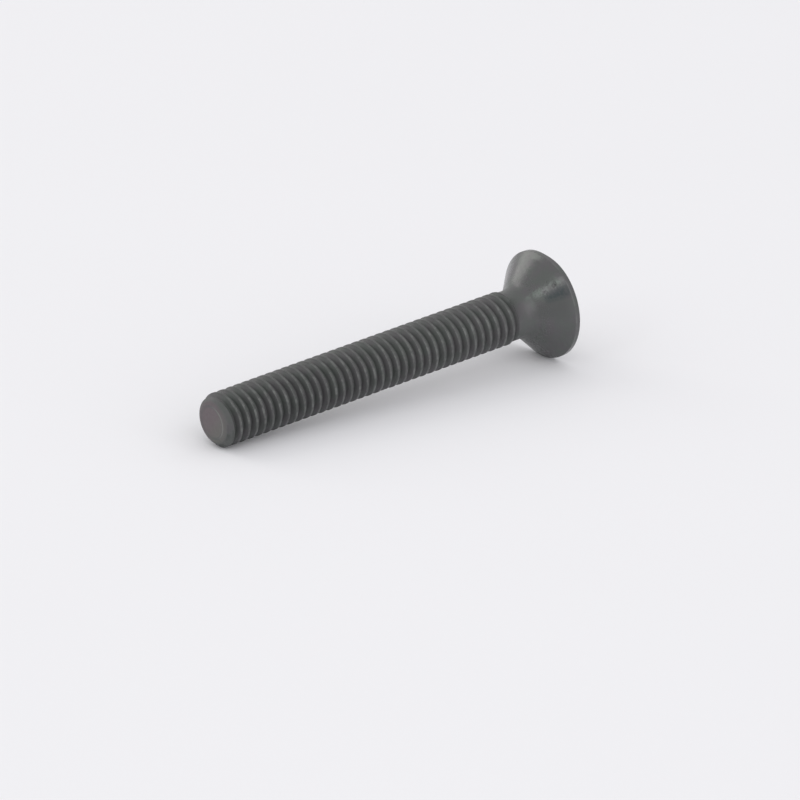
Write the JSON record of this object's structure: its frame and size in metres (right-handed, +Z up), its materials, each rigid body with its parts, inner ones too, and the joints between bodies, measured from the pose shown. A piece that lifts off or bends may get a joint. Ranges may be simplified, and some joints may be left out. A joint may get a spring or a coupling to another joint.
{
  "type": "countersunk bolt",
  "caption": "Black countersunk machine bolt with a hexagon socket, a filleted cone under the head and a right-hand thread over the whole shank.",
  "frame": {"origin": "bottom centre of the bounding box, on the plane that the bolt lies on", "axes": "+X from the tip towards the head, +Z up; the bolt's axis lies in the XZ plane and rises 4.002 degrees towards the head, as it comes to rest"},
  "size_m": [0.0302, 0.008, 0.008],
  "materials": {
    "black_steel": "black oxide on steel, satin with a thin film of oil, paler where the crests are rubbed"
  },
  "bodies": {
    "root": {"bolt": "black_steel"}
  },
  "joints": []
}
